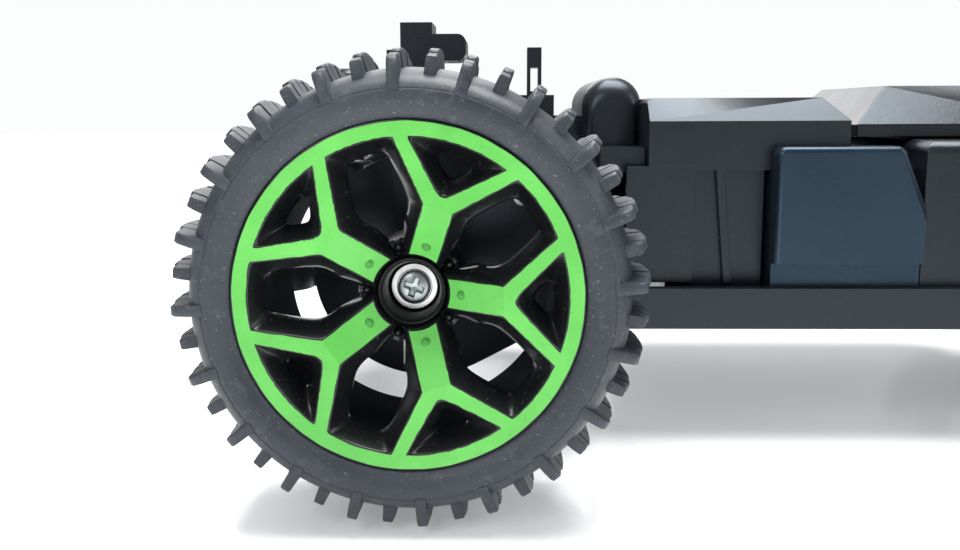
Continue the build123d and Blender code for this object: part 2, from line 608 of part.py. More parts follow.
# ---- Front suspension and steering -----------------------------------------
def make_front_end():
    """The front tower, arms, knuckles, servo, steering bar, bumper and body posts."""
    floor = TUB_BOTTOM + FLOOR_THICKNESS
    arm_span = (FRONT_AXLE - 10.5, FRONT_AXLE + 10.5)
    plate_front = SHOCK_PLANE - PLATE_CLEARANCE
    lug_face = SHOCK_PLANE - LUG_CLEARANCE
    with BuildPart() as tower:
        block((arm_span[0] - 3.5, lug_face), (-16, 16), (floor, 34))
        for x_span in ((arm_span[0] - 3.5, arm_span[0] - 0.4), (arm_span[1] + 0.4, lug_face)):
            block(x_span, (-ARM_PIVOT_Y, ARM_PIVOT_Y), (ARM_PIVOT_Z - 4, ARM_PIVOT_Z + 4))
            for side in (-1, 1):
                centre = (sum(x_span) / 2, side * ARM_PIVOT_Y, ARM_PIVOT_Z)
                rod("X", centre, 4, x_span[1] - x_span[0])
        with BuildSketch(Plane.YZ.offset(plate_front - 3.5)):
            Polygon((-18, 30), (18, 30), (18, 48), (39, 66), (39, 75), (34, 76), (20, 66), (-20, 66),
                    (-34, 76), (-39, 75), (-39, 66), (-18, 48), align=None)
        extrude(amount=3.5)
        for side in (-1, 1):
            block((78, 92), sorted((side * 8, side * 12)), (33, 58))
            peg(plate_front - 1, SHOCK_PLANE + PEG_REACH, side * FRONT_SHOCK_TOP_Y, SHOCK_TOP_Z)
            pin_centre = (FRONT_AXLE, side * ARM_PIVOT_Y, ARM_PIVOT_Z)
            rod("X", pin_centre, PIN_RADIUS, 40, mode=Mode.SUBTRACT)
    save(tower, "front_tower")

    shock_foot_y = FRONT_SHOCK_TOP_Y + SHOCK_SPREAD
    shock_foot_z = SHOCK_TOP_Z - SHOCK_DROP
    ears = ((27.5, 32.5), (45.5, 49.5))
    with BuildPart() as arm:
        with BuildSketch(Plane.XY.offset(28)):
            Polygon((arm_span[0], -ARM_PIVOT_Y), (arm_span[1], -ARM_PIVOT_Y), (arm_span[1], -40),
                    (96, -52), (81, -52), (arm_span[0], -40), align=None)
            with Locations((FRONT_AXLE, -34)):
                RectangleRounded(10, 12, 2, mode=Mode.SUBTRACT)
        extrude(amount=4)
        rod("X", (FRONT_AXLE, -ARM_PIVOT_Y, ARM_PIVOT_Z), 4, 21)
        rod("X", (FRONT_AXLE, -ARM_PIVOT_Y, ARM_PIVOT_Z), PIN_RADIUS + RUNNING_GAP, 30, mode=Mode.SUBTRACT)
        block((81.5, 95.5), (-52, -49), (27.5, 49.5))
        for ear in ears:
            block((84, 93), (-KINGPIN_Y, -49), ear)
            rod("Z", (FRONT_AXLE, -KINGPIN_Y, sum(ear) / 2), 4.5, ear[1] - ear[0])
            rod("Z", (FRONT_AXLE, -KINGPIN_Y, sum(ear) / 2), PIN_RADIUS + RUNNING_GAP, ear[1] - ear[0],
                mode=Mode.SUBTRACT)
        block((arm_span[1] - 1, lug_face), (-shock_foot_y - 4, -shock_foot_y + 4), (28, shock_foot_z + 4))
        block((93, arm_span[1]), (-shock_foot_y - 3, -shock_foot_y + 4), (28, 32))
        peg(arm_span[1], SHOCK_PLANE + PEG_REACH, -shock_foot_y, shock_foot_z)
    save_pair(arm, "front_arm")

    with BuildPart() as knuckle:
        rod("Z", (FRONT_AXLE, -KINGPIN_Y, 39), 4.5, 12.0)
        rod("Z", (FRONT_AXLE, -KINGPIN_Y, 39), PIN_RADIUS, 21.0)
        rod_y(FRONT_AXLE, AXLE_HEIGHT, AXLE_RADIUS, (-(FACE_OFFSET - HEX_DEPTH), -KINGPIN_Y))
        rod_y(FRONT_AXLE, AXLE_HEIGHT, 4.0, (-KINGPIN_Y - 10, -KINGPIN_Y))
        rod_y(FRONT_AXLE, AXLE_HEIGHT, SCREW_HOLE_RADIUS, (-(FACE_OFFSET - HEX_DEPTH), -69), mode=Mode.SUBTRACT)
        block((FRONT_AXLE - STEERING_REACH, FRONT_AXLE), (-KINGPIN_Y - 2.5, -KINGPIN_Y + 2.5), (40, 43))
        rod("Z", (FRONT_AXLE - STEERING_REACH, -KINGPIN_Y, 41.5), 2.5, 3)
        rod("Z", (FRONT_AXLE - STEERING_REACH, -KINGPIN_Y, 37.5), 1.0, 7)
    save_pair(knuckle, "steering_knuckle")

    with BuildPart() as bush:
        with BuildSketch(side_plane(-FACE_OFFSET + HUB_DEPTH + 0.5)):
            with Locations((FRONT_AXLE, AXLE_HEIGHT)):
                RegularPolygon(HEX_ACROSS_FLATS / 2, 6, major_radius=False)
                Circle(AXLE_RADIUS + RUNNING_GAP, mode=Mode.SUBTRACT)
        extrude(amount=HUB_DEPTH + 0.5 - HEX_DEPTH)
    save_pair(bush, "front_wheel_bush")

    with BuildPart() as bar:
        block((FRONT_AXLE - STEERING_REACH - 2, FRONT_AXLE - STEERING_REACH + 2), (-KINGPIN_Y, KINGPIN_Y),
              (BAR_BOTTOM, BAR_TOP))
        for y in (-KINGPIN_Y, KINGPIN_Y):
            rod("Z", (FRONT_AXLE - STEERING_REACH, y, (BAR_BOTTOM + BAR_TOP) / 2), 4.4, BAR_TOP - BAR_BOTTOM)
            rod("Z", (FRONT_AXLE - STEERING_REACH, y, 38), 2.6, 8, mode=Mode.SUBTRACT)
        rod("Z", (FRONT_AXLE - STEERING_REACH, 0, (BAR_BOTTOM + BAR_TOP) / 2), 4.4, BAR_TOP - BAR_BOTTOM)
        rod("Z", (FRONT_AXLE - STEERING_REACH, 0, 38), 2.6, 8, mode=Mode.SUBTRACT)
    save(bar, "steering_bar")

    with BuildPart() as servo:
        block((70, 96.5), (-7.5, 7.5), (44, 62))
        fillet(servo.edges().filter_by(Axis.Z), 1)
        block((66, 97), (-7.5, 7.5), (54, 56))
        rod("Z", (FRONT_AXLE, 0, 43.4), 5, 1.2)
    save(servo, "steering_servo")

    with BuildPart() as horn:
        with BuildSketch(Plane.XY.offset(40)):
            with Locations((FRONT_AXLE, 0)):
                Circle(3.6)
            with Locations((FRONT_AXLE - STEERING_REACH, 0)):
                Circle(2.2)
            make_hull()
        extrude(amount=2.6)
        rod("Z", (FRONT_AXLE - STEERING_REACH, 0, 37.75), 1.0, 4.5)
    save(horn, "servo_horn")

    with BuildPart() as bumper:
        block((NOSE_END, 122), (-16, 16), (TUB_BOTTOM, 28))
        with BuildSketch(Plane.XY.offset(TUB_BOTTOM)):
            with Locations(((BUMPER_REACH + 118) / 2, 0)):
                RectangleRounded(BUMPER_REACH - 118, 76, 8)
        extrude(amount=11)
        fillet(bumper.faces().sort_by(Axis.Z)[-1].edges(), 1.5)
    save(bumper, "front_bumper")

    with BuildPart() as post:
        block((60, 64), (-19, -14), (floor, 84))
        fillet(post.edges().filter_by(Axis.Z), 0.8)
        rod("X", (62, -16.5, 79), 1.0, 6, mode=Mode.SUBTRACT)
    save_pair(post, "front_body_post")


# ---- Shock absorbers: built hanging from the upper eye at the origin --------
def make_shocks():
    """Four oil shocks: body with upper eye, rod with lower eye and spring cup, and the coil spring."""
    length = math.hypot(SHOCK_DROP, SHOCK_SPREAD)
    eye_bore = PIN_RADIUS + RUNNING_GAP
    with BuildPart() as body:
        rod("X", (0, 0, 0), 3.4, EYE_THICKNESS)
        rod("Z", (0, 0, -4.8), NECK_RADIUS, 4.4)
        rod("Z", (0, 0, -7), 5.6, 2.0)
        rod("Z", (0, 0, -14), 3.4, 16.0)
        rod("Z", (0, 0, -18), 1.0 + RUNNING_GAP, 14.0, mode=Mode.SUBTRACT)
        rod("X", (0, 0, 0), eye_bore, EYE_THICKNESS + 1, mode=Mode.SUBTRACT)
    with BuildPart() as piston:
        rod("X", (0, 0, -length), 3.4, EYE_THICKNESS)
        rod("Z", (0, 0, -length + 4.8), NECK_RADIUS, 4.4)
        rod("Z", (0, 0, -length + 7.0), 5.6, 2.0)
        rod("Z", (0, 0, (-length + 7.0 - 24.1) / 2), 1.0, length - 7.0 - 24.1 + 9.0)
        rod("X", (0, 0, -length), PIN_RADIUS + 0.5, EYE_THICKNESS + 1, mode=Mode.SUBTRACT)
    spring_top = -8.0
    spring_length = length - 8.0 - 8.0
    with BuildPart() as spring:
        rise = spring_length - 2 * SPRING_WIRE - 0.1
        with BuildLine():
            Helix(pitch=rise / SPRING_TURNS, height=rise, radius=SPRING_RADIUS,
                  center=(0, 0, spring_top - spring_length + SPRING_WIRE + 0.05))
        with BuildSketch(Plane((SPRING_RADIUS, 0, spring_top - spring_length + SPRING_WIRE + 0.05),
                               x_dir=(1, 0, 0), z_dir=(0, 1, 0))):
            Circle(SPRING_WIRE)
        sweep()
    lean = math.degrees(math.atan2(SHOCK_SPREAD, SHOCK_DROP))
    for end, x, top_y in (("rear", -SHOCK_PLANE, REAR_SHOCK_TOP_Y), ("front", SHOCK_PLANE, FRONT_SHOCK_TOP_Y)):
        place = Location((x, -top_y, SHOCK_TOP_Z), (-lean, 0, 0))
        for piece, name in ((body, "shock_body"), (piston, "shock_rod"), (spring, "shock_spring")):
            with BuildPart() as right:
                add(piece.part.moved(place))
            save_pair(right, f"{name}_{end}")


make_wheels()
make_drive_train()
make_swing_unit()
make_tub()
make_rear_bulkhead()
make_covers()
make_front_end()
make_shocks()
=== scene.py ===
import json
import math
import random

import bmesh
import bpy
from mathutils import Matrix, Vector
from mathutils.geometry import delaunay_2d_cdt


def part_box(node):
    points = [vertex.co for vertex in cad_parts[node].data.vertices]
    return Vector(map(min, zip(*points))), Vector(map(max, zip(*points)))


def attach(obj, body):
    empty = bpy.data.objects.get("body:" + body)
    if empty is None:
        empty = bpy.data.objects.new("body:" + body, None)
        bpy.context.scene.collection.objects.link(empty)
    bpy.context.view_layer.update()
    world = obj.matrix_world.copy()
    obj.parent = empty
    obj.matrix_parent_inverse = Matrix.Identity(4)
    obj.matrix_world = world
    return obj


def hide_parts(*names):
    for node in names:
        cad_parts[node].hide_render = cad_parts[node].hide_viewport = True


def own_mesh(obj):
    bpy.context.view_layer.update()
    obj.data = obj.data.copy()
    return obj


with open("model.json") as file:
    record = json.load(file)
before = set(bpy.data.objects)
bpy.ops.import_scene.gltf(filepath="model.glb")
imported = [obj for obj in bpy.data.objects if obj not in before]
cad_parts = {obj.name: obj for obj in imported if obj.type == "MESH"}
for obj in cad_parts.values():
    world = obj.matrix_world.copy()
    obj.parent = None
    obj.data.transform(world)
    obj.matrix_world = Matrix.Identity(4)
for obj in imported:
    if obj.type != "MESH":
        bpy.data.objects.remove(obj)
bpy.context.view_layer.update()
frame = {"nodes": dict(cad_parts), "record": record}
MM = 0.001
MERGE_DISTANCE = 0.000002
FLAT_DISTANCE = 0.000001
SIDES = {"right": -1, "left": 1}
ENDS = ("rear", "front")

# ---- Wheel dimensions: millimetres and degrees; depths go inwards from the painted face ----
SPOKES = 5
SPOKE_STEP = 360 / SPOKES
SPOKE_PHASE = -1.1
RING_RADIUS = 27.0
WINDOW_RADIUS = 24.4
FORK_RADIUS = 14.65
FORK_WINDOW_TIP = 15.9
FORK_WINDOW_MIDDLE = 21.0
FORK_WINDOW_HALF_ANGLE = 18.1
FORK_TIP_ROUNDING = 0.62
SIDE_WINDOW_MIDDLE = 16.2
ARM_ANGLE_AT_RING = 23.8
ARM_ANGLE_AT_FORK = 9.5
STEM_HALF_WIDTH = 2.4
STEM_FOOT_RADIUS = 6.0
STEM_FOOT_DEPTH = 6.0
STEM_CREASE = 0.2
STEM_REACHES = (6.4, 7.2, 8.4, 9.8, 11.2, 12.6, 13.6, 14.2, 14.45, 14.7, 15.2)
STEM_OFFSETS = (-2.1, -1.4, -0.7, 0.0, 0.7, 1.4, 2.1)
SPOKE_THICKNESS = 5.0
SPOKE_BACK_SLOPE = 1.05
HUB_RADIUS = 8.4
BARREL_RADIUS = 22.3
RIM_WIDTH = 25.0
# Each step of a window's wall: how far in, how rounded its corners, how deep
WINDOW_WALL = ((0.0, 0.10, 0.0), (0.07, 0.12, 0.05), (0.18, 0.16, 0.20), (0.9, 0.35, 1.5),
               (1.6, 0.55, 2.9), (2.0, 0.62, 3.9))
WINDOW_WALL_DEPTH = 12
PAINT_LIFT = 0.05
PAINT_INSET = -0.16
PAINT_RADIUS = 26.72
WAVE_COUNTS = (9, 14, 23, 37)
TYRE_MIDDLE = 12.6
TREAD_ROWS = 40
TREAD_PHASE = 2.9
TREAD_GAPS = (5.4, 10.2, 15.0, 19.8)
TREAD_GAP = 0.35
CIRCLE_STEPS = 180
WINDOW_STEPS = 120
WINDOW_REACH = 16.0
HALVINGS = 34

# ---- Shock springs: millimetres ----
SPRING_TURNS = 6.5
SPRING_STEPS = 220
WIRE_STEPS = 12
WIRE_RADIUS = 0.6
SPRING_RADIUS = 4.4
SHOCK_LEAN = math.atan2(12, 40)


# ---- Materials --------------------------------------------------------------
DUST = (0.35, 0.36, 0.37)


class Nodes:
    """A short way to build a material from shader nodes."""

    def __init__(self, name):
        self.material = bpy.data.materials.new(name)
        self.material.use_nodes = True
        self.tree = self.material.node_tree
        self.shader = self.tree.nodes["Principled BSDF"]
        self.place = self.add("ShaderNodeTexCoord").outputs["Object"]

    def add(self, kind, **settings):
        node = self.tree.nodes.new(kind)
        for key, value in settings.items():
            setattr(node, key, value)
        return node

    def join(self, output, socket):
        self.tree.links.new(output, socket)

    def noise(self, scale, detail, roughness=0.6):
        """Values of a noise that is fixed to the piece."""
        node = self.add("ShaderNodeTexNoise")
        node.inputs["Scale"].default_value = scale
        node.inputs["Detail"].default_value = detail
        node.inputs["Roughness"].default_value = roughness
        self.join(self.place, node.inputs["Vector"])
        return node.outputs["Fac"]

    def ramp(self, value, low, high, start=0.0, end=1.0):
        """Maps a value between two limits onto a range."""
        node = self.add("ShaderNodeMapRange")
        node.inputs["From Min"].default_value = low
        node.inputs["From Max"].default_value = high
        node.inputs["To Min"].default_value = start
        node.inputs["To Max"].default_value = end
        self.join(value, node.inputs["Value"])
        return node.outputs["Result"]

    def mix(self, factor, first, second):
        """A colour between two colours, each a tuple or an output."""
        node = self.add("ShaderNodeMix", data_type="RGBA")
        self.join(factor, node.inputs["Factor"])
        for socket, value in ((node.inputs[6], first), (node.inputs[7], second)):
            if isinstance(value, tuple):
                socket.default_value = (*value, 1)
            else:
                self.join(value, socket)
        return node.outputs[2]

    def bump(self, height, strength, distance, normal=None):
        """A surface direction tilted by a height, on top of another one if given."""
        node = self.add("ShaderNodeBump")
        node.inputs["Strength"].default_value = strength
        node.inputs["Distance"].default_value = distance
        self.join(height, node.inputs["Height"])
        if normal:
            self.join(normal, node.inputs["Normal"])
        return node.outputs["Normal"]

    def finish(self, colour=None, roughness=None, normal=None, **constants):
        """Joins the outputs to the shader, sets its other inputs and gives the material."""
        if colour is not None:
            self.join(colour, self.shader.inputs["Base Color"])
        if roughness is not None:
            self.join(roughness, self.shader.inputs["Roughness"])
        if normal is not None:
            self.join(normal, self.shader.inputs["Normal"])
        for key, value in constants.items():
            self.shader.inputs[key.replace("_", " ")].default_value = value
        return self.material


def moulded_plastic(name, colour, rough_low, rough_high, grain, grain_depth, dust=0.25,
                    tint=(1, 1, 1), shine=0.5):
    """Moulded plastic: a fine grain, a slow change of gloss and a little pale dust."""
    n = Nodes(name)
    slow = n.noise(60, 3)
    fine = n.noise(grain, 2)
    specks = n.noise(1500, 1)
    pale = tuple(min(1.0, c * 1.3 + 0.002) for c in colour)
    base = n.mix(n.ramp(slow, 0.35, 0.7), colour, pale)
    dusty = n.mix(n.ramp(specks, 0.70, 0.78, 0.0, dust), base, DUST)
    rough = n.ramp(slow, 0.3, 0.7, rough_low, rough_high)
    normal = n.bump(fine, 0.35, grain_depth)
    return n.finish(dusty, rough, normal, Specular_Tint=(*tint, 1), Specular_IOR_Level=shine)


def tyre_rubber():
    """Matte rubber, greyed on its high spots, stippled and dotted with dust."""
    n = Nodes("tyre_rubber")
    patches = n.noise(45, 4)
    stipple = n.noise(1800, 3, 0.7)
    pebbles = n.noise(520, 2)
    dots = n.noise(2600, 1)
    dark, grey, scuff, dust = ((0.024, 0.030, 0.040), (0.044, 0.052, 0.066),
                               (0.09, 0.10, 0.115), (0.32, 0.33, 0.35))
    base = n.mix(n.ramp(patches, 0.3, 0.72), dark, grey)
    scuffed = n.mix(n.ramp(pebbles, 0.58, 0.75, 0.0, 0.45), base, scuff)
    dusty = n.mix(n.ramp(dots, 0.70, 0.76, 0.0, 0.5), scuffed, dust)
    rough = n.ramp(patches, 0.3, 0.7, 0.40, 0.52)
    coarse = n.bump(pebbles, 0.35, 0.00012)
    normal = n.bump(stipple, 0.45, 0.00006, coarse)
    return n.finish(dusty, rough, normal, Specular_IOR_Level=0.45)


def green_paint(name, low, high):
    """Satin green paint, slightly mottled, over plastic."""
    n = Nodes(name)
    clouds = n.noise(70, 4)
    peel = n.noise(900, 2)
    specks = n.noise(2400, 1)
    base = n.mix(n.ramp(clouds, 0.3, 0.7), low, high)
    spotted = n.mix(n.ramp(specks, 0.72, 0.78, 0.0, 0.5), base, (0.03, 0.22, 0.03))
    rough = n.ramp(clouds, 0.3, 0.7, 0.36, 0.46)
    normal = n.bump(peel, 0.18, 0.00005)
    return n.finish(spotted, rough, normal, Coat_Weight=0.15, Coat_Roughness=0.2)


def metal(name, colour, rough_low, rough_high, scratches):
    """Plated or turned metal with fine wear."""
    n = Nodes(name)
    wear = n.noise(220, 5)
    fine = n.noise(scratches, 2)
    darker = tuple(c * 0.72 for c in colour)
    base = n.mix(n.ramp(wear, 0.35, 0.7), colour, darker)
    rough = n.ramp(wear, 0.3, 0.7, rough_low, rough_high)
    normal = n.bump(fine, 0.2, 0.00003)
    return n.finish(base, rough, normal, Metallic=1.0)


MATERIALS = {
    "tyre_rubber": tyre_rubber(),
    "green_paint": green_paint("green_paint", (0.095, 0.50, 0.062), (0.15, 0.64, 0.105)),
    "deep_green": green_paint("deep_green", (0.04, 0.27, 0.03), (0.06, 0.36, 0.05)),
    "rim_plastic": moulded_plastic("rim_plastic", (0.006, 0.007, 0.008), 0.16, 0.26, 700, 0.00003,
                                   dust=0.15),
    "black_plastic": moulded_plastic("black_plastic", (0.005, 0.006, 0.008), 0.24, 0.33, 1100,
                                     0.00005, dust=0.04, tint=(0.75, 0.88, 1.0)),
    "shock_plastic": moulded_plastic("shock_plastic", (0.02, 0.02, 0.021), 0.2, 0.3, 900, 0.00004),
    "gear_nylon": moulded_plastic("gear_nylon", (0.62, 0.6, 0.54), 0.4, 0.5, 800, 0.00004),
    "board": moulded_plastic("board", (0.01, 0.10, 0.04), 0.25, 0.35, 500, 0.00003),
    "battery_wrap": moulded_plastic("battery_wrap", (0.02, 0.05, 0.22), 0.2, 0.3, 200, 0.00005),
    "plated_steel": metal("plated_steel", (0.78, 0.78, 0.77), 0.16, 0.3, 1600),
    # The black plastic again, with a bluish base and a bluish reflection tint: a painted blue
    # reflection for the battery box
    "black_with_painted_blue_reflection": moulded_plastic("black_with_painted_blue_reflection", (0.006, 0.010, 0.016), 0.26, 0.36, 1100, 0.00005,
                                  dust=0.04, tint=(0.45, 0.72, 1.0), shine=0.7),
    "hub_plastic": moulded_plastic("hub_plastic", (0.004, 0.0045, 0.005), 0.34, 0.44, 900, 0.00004,
                                   dust=0.1, shine=0.22),
    "screw_steel": metal("screw_steel", (0.42, 0.47, 0.46), 0.2, 0.34, 1600),
    "black_steel": metal("black_steel", (0.09, 0.09, 0.095), 0.3, 0.42, 1600),
    "motor_steel": metal("motor_steel", (0.30, 0.305, 0.315), 0.3, 0.42, 900),
    "brass": metal("brass", (0.80, 0.58, 0.25), 0.2, 0.32, 1400),
}


# ---- Mesh helpers -------------------------------------------------------------
def polar(radius, degrees):
    """The point at a radius and an angle."""
    return (radius * math.cos(math.radians(degrees)), radius * math.sin(math.radians(degrees)))


def circle(radius):
    return [polar(radius, 360 * i / CIRCLE_STEPS) for i in range(CIRCLE_STEPS)]


def add_object(name, data):
    """A new object in the scene."""
    piece = bpy.data.objects.new(name, data)
    bpy.context.scene.collection.objects.link(piece)
    return piece


def build(name, verts, faces, material, degrees=35):
    """A mesh object from points in millimetres, faces outward, with edges soft up to an angle."""
    mesh = bpy.data.meshes.new(name)
    mesh.from_pydata([Vector(v) * MM for v in verts], [], faces)
    bm = bmesh.new()
    bm.from_mesh(mesh)
    bmesh.ops.remove_doubles(bm, verts=bm.verts, dist=MERGE_DISTANCE)
    bmesh.ops.dissolve_degenerate(bm, edges=bm.edges, dist=FLAT_DISTANCE)
    bmesh.ops.recalc_face_normals(bm, faces=bm.faces)
    bm.to_mesh(mesh)
    bm.free()
    piece = add_object(name, mesh)
    mesh.materials.append(MATERIALS[material])
    mesh.shade_smooth()
    mesh.set_sharp_from_angle(angle=math.radians(degrees))
    return piece


def lathe(profile, steps=CIRCLE_STEPS, closed=True):
    """Points and faces of a profile of (radius, depth) turned about the wheel's axis."""
    turns = [2 * math.pi * i / steps for i in range(steps)]
    verts = [(r * math.cos(turn), d, r * math.sin(turn)) for turn in turns for r, d in profile]
    count = len(profile)
    faces = []
    for i in range(steps):
        here, there = i * count, (i + 1) % steps * count
        for j in range(count if closed else count - 1):
            k = (j + 1) % count
            faces.append((here + j, here + k, there + k, there + j))
    return verts, faces


def joined(*shells):
    """Several (points, faces) shells as one."""
    verts, faces = [], []
    for points, polygons in shells:
        start = len(verts)
        verts += points
        faces += [tuple(start + i for i in polygon) for polygon in polygons]
    return verts, faces


# ---- Wheel rim ------------------------------------------------------------------
def smallest(values, blend):
    """The smallest value, rounded off where two of them are close."""
    low = min(values)
    return low - blend * math.log(sum(math.exp((low - v) / blend) for v in values))


def line_distance(point, start, end):
    """How far a point is to the left of a line."""
    dx, dy = end[0] - start[0], end[1] - start[1]
    length = math.hypot(dx, dy)
    return (dx * (point[1] - start[1]) - dy * (point[0] - start[0])) / length


def inside_ring(point):
    """How far a point is inside the ring."""
    return WINDOW_RADIUS - math.hypot(*point)


def outside_hub(point):
    """How far a point is outside the hub."""
    return math.hypot(*point) - HUB_RADIUS


def fork_window(along):
    """The window in a spoke's fork: its sides, as functions that give how far inside a point is,
    and its middle."""
    tip = polar(FORK_WINDOW_TIP, along)
    low = polar(WINDOW_RADIUS, along - FORK_WINDOW_HALF_ANGLE)
    high = polar(WINDOW_RADIUS, along + FORK_WINDOW_HALF_ANGLE)

    def beside_arms(point):
        return smallest([line_distance(point, tip, low), line_distance(point, high, tip)],
                        FORK_TIP_ROUNDING)

    return [beside_arms, inside_ring], polar(FORK_WINDOW_MIDDLE, along)


def side_window(along):
    """The big window beside a spoke, in the same form."""
    half = SPOKE_STEP / 2
    middle = along + half
    far, near = half - ARM_ANGLE_AT_RING, half - ARM_ANGLE_AT_FORK
    foot = half - math.degrees(math.asin(STEM_HALF_WIDTH / HUB_RADIUS))
    corners = ((WINDOW_RADIUS, far), (FORK_RADIUS, near), (HUB_RADIUS, foot))
    p1, p2, p3 = (polar(radius, middle - angle) for radius, angle in corners)
    q1, q2, q3 = (polar(radius, middle + angle) for radius, angle in corners)
    lines = [(p3, p2), (p2, p1), (q1, q2), (q2, q3)]
    straight = [lambda p, s=s, e=e: line_distance(p, s, e) for s, e in lines]
    return straight + [inside_ring, outside_hub], polar(SIDE_WINDOW_MIDDLE, middle)


def window_loop(sides, middle, inset, blend):
    """The window's outline, moved inwards, as points round its middle."""
    points = []
    for i in range(WINDOW_STEPS):
        ux, uy = polar(1.0, 360 * i / WINDOW_STEPS)
        low, high = 0.0, WINDOW_REACH
        for _ in range(HALVINGS):
            reach = (low + high) / 2
            point = (middle[0] + ux * reach, middle[1] + uy * reach)
            if smallest([side(point) for side in sides], blend) > inset:
                low = reach
            else:
                high = reach
        points.append((middle[0] + ux * low, middle[1] + uy * low))
    return points


def face_depth(point):
    """Depth of the painted face: flat from ring to fork, then a straight slope down each stem."""
    radius = math.hypot(*point)
    angle = math.degrees(math.atan2(point[1], point[0])) - SPOKE_PHASE
    turn = (angle + SPOKE_STEP / 2) % SPOKE_STEP - SPOKE_STEP / 2
    along = radius * math.cos(math.radians(turn))
    if radius >= FORK_RADIUS + 1:
        return 0.0
    slope = STEM_FOOT_DEPTH / (FORK_RADIUS - STEM_FOOT_RADIUS)
    return max(0.0, (FORK_RADIUS - STEM_CREASE - along) * slope)


def back_depth(point):
    """Depth of the back of the spokes."""
    return SPOKE_THICKNESS + max(0.0, (FORK_RADIUS - math.hypot(*point)) * SPOKE_BACK_SLOPE)


FORKS = [fork_window(SPOKE_PHASE + SPOKE_STEP * i) for i in range(SPOKES)]
GAPS = [side_window(SPOKE_PHASE + SPOKE_STEP * i) for i in range(SPOKES)]


def open_chain(loop, keep):
    """The kept points of a closed loop, as a chain that starts after the gap."""
    count = len(loop)
    start = next(i for i in range(count) if keep[i] and not keep[i - 1])
    order = [(start + i) % count for i in range(count)]
    return [loop[i] for i in order if keep[i]]


def star_loop(inset, blend, edge=None):
    """The outline of the five big windows and the hub between them, moved inwards."""
    points = []
    near_hub, widest_foot, foot_share = HUB_RADIUS + 0.9, 33.5, 0.3
    for spoke, (sides, middle) in enumerate(GAPS):
        keep = [math.hypot(*p) > near_hub for p in window_loop(sides, middle, 0.0, 0.1)]
        loop = window_loop(sides, middle, inset, blend)
        if edge:
            loop = edge(loop, middle)
        points += open_chain(loop, keep)
        along = SPOKE_PHASE + SPOKE_STEP * (spoke + 1)
        foot = STEM_FOOT_RADIUS - (inset if inset < 0 else foot_share * inset)
        half = min(widest_foot, math.degrees(math.asin((STEM_HALF_WIDTH + inset) / foot)))
        points += [polar(foot, along + half * k / 3) for k in (-3, -2, -1, 0, 1, 2, 3)]
    return points


def plate(outer, holes, depth, extra=()):
    """The region inside an outline and outside its holes, in triangles, with a depth for each
    point; the extra points become corners too."""
    points, edges = [], []
    for loop in [outer] + holes:
        start = len(points)
        points += [Vector(p) for p in loop]
        edges += [(start + i, start + (i + 1) % len(loop)) for i in range(len(loop))]
    points += [Vector(p) for p in extra]
    verts, _, faces, *_ = delaunay_2d_cdt(points, edges, [], 0, 1e-7)
    kept = []
    for face in faces:
        centre = sum((verts[i] for i in face), Vector((0, 0))) / 3
        if inside(centre, outer) and not any(inside(centre, loop) for loop in holes):
            kept.append(tuple(face))
    return [(v[0], depth(v), v[1]) for v in verts], kept


def inside(point, loop):
    """Whether a point is inside a closed outline."""
    odd = False
    x, y = point
    for i, (x1, y1) in enumerate(loop):
        x2, y2 = loop[i - 1]
        if (y1 > y) != (y2 > y) and x < (x2 - x1) * (y - y1) / (y2 - y1) + x1:
            odd = not odd
    return odd


def wall(loops):
    """Points and faces between loops of (x, y, depth) with the same number of points."""
    verts = [(x, depth, y) for loop in loops for x, y, depth in loop]
    count = len(loops[0])
    faces = []
    for k in range(len(loops) - 1):
        for i in range(count):
            j = (i + 1) % count
            faces.append((k * count + i, k * count + j, (k + 1) * count + j, (k + 1) * count + i))
    return verts, faces


def stem_points():
    """Extra points on the stems, so that their slope and crease are kept."""
    points = []
    for spoke in range(SPOKES):
        along = math.radians(SPOKE_PHASE + SPOKE_STEP * spoke)
        for reach in STEM_REACHES:
            for side in STEM_OFFSETS:
                points.append((reach * math.cos(along) - side * math.sin(along),
                               reach * math.sin(along) + side * math.cos(along)))
    return points


def rim_shell():
    """The black moulding: spokes with funnelled windows, the ring, the barrel and bead seats."""
    shells, top_holes, back_holes = [], [], []
    outlines = [[window_loop(*window, inset, blend) for inset, blend, _ in WINDOW_WALL]
                for window in FORKS]
    outlines.append([star_loop(inset, blend) for inset, blend, _ in WINDOW_WALL])
    for stages in outlines:
        loops = []
        for outline, (_, _, drop) in zip(stages, WINDOW_WALL):
            share = 1 - drop / WINDOW_WALL_DEPTH
            loops.append([(x, y, face_depth((x, y)) * share + drop) for x, y in outline])
        outline = [(x, y) for x, y, _ in loops[-1]]
        loops.append([(x, y, back_depth((x, y))) for x, y in outline])
        shells.append(wall(loops))
        top_holes.append([(x, y) for x, y, _ in loops[0]])
        back_holes.append(outline)
    face_edge, back_edge = RING_RADIUS - 0.25, BARREL_RADIUS + 0.4
    shells.append(plate(circle(face_edge), top_holes, face_depth, stem_points()))
    shells.append(plate(circle(back_edge), back_holes, back_depth))
    profile = [(face_edge, 0.0), (RING_RADIUS - 0.08, 0.07), (RING_RADIUS, 0.25),
               (RING_RADIUS, 1.3), (25.3, 1.5), (25.3, 23.3), (26.5, 23.5), (26.6, 24.8),
               (26.4, RIM_WIDTH), (22.9, RIM_WIDTH), (22.6, 24.7), (back_edge, SPOKE_THICKNESS)]
    shells.append(lathe(profile, closed=False))
    return joined(*shells)


def hub_shell():
    """The hub with its cup, as one turned shape with a small screw hole."""
    profile = [(1.6, 13.4), (3.9, 13.4), (4.05, 12.6), (4.35, 9.6), (4.6, 8.1), (4.8, 7.45),
               (5.0, 7.15), (5.25, 7.1), (5.45, 7.3), (5.6, 7.7), (5.75, 8.4), (6.1, 8.75),
               (7.9, 8.95), (8.3, 9.1), (8.5, 9.5), (8.7, 12.0), (8.7, 20.2), (8.4, 20.5),
               (7.4, 20.5), (7.4, 16.2), (1.6, 16.2)]
    return lathe(profile, 120)


